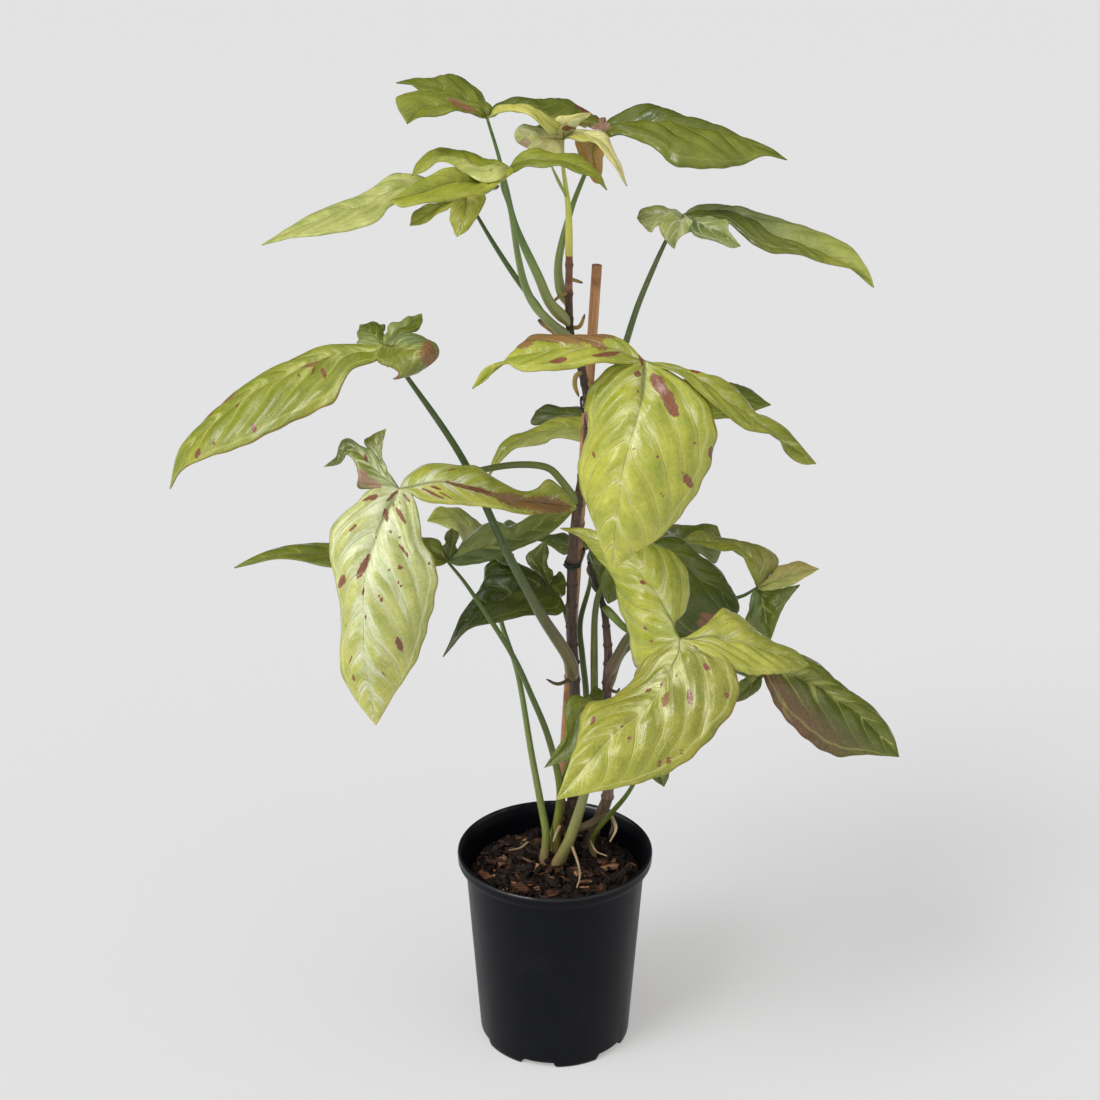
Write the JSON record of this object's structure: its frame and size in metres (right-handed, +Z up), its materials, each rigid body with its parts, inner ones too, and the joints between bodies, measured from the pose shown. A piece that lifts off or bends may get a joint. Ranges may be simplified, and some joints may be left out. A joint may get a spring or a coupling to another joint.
{
  "type": "potted pink salmon syngonium",
  "caption": "Potted climbing aroid with lobed, partly pink-flecked leaves on long stalks, tied to a bamboo stake in a round black nursery pot.",
  "frame": {"origin": "middle of the pot's underside, where it rests", "axes": "+Z up along the pot's axis and the stems; -Y towards the side that the picture shows; +X to its right"},
  "size_m": [0.4705, 0.3165, 0.6876],
  "materials": {
    "pot plastic": "satin",
    "potting bark": "rough and dry",
    "stem bark": "rough",
    "bamboo": "satin",
    "tie wire": "satin",
    "petiole": "smooth and fleshy",
    "young blade": "soft sheen",
    "grown blade": "soft sheen"
  },
  "bodies": {
    "root": {"pot": "pot plastic", "soil": "potting bark", "main_stem": "stem bark", "second_stem": "stem bark", "bamboo_stake": "bamboo", "tie_1": "tie wire", "tie_2": "tie wire", "sheath": "petiole", "blade_01": "young blade", "petiole_01": "petiole", "blade_02": "young blade", "petiole_02": "petiole", "blade_03": "grown blade", "petiole_03": "petiole", "blade_04": "young blade", "petiole_04": "petiole", "blade_05": "young blade", "petiole_05": "petiole", "blade_06": "grown blade", "petiole_06": "petiole", "blade_07": "young blade", "petiole_07": "petiole", "blade_08": "young blade", "petiole_08": "petiole", "blade_09": "grown blade", "petiole_09": "petiole", "blade_10": "grown blade", "petiole_10": "petiole", "blade_11": "grown blade", "petiole_11": "petiole", "blade_12": "young blade", "petiole_12": "petiole", "blade_13": "young blade", "petiole_13": "petiole", "blade_14": "grown blade", "petiole_14": "petiole", "blade_15": "grown blade", "petiole_15": "petiole", "blade_16": "grown blade", "petiole_16": "petiole", "blade_17": "grown blade", "petiole_17": "petiole", "blade_18": "grown blade", "petiole_18": "petiole", "blade_19": "grown blade", "petiole_19": "petiole", "blade_20": "grown blade", "petiole_20": "petiole"}
  },
  "joints": []
}
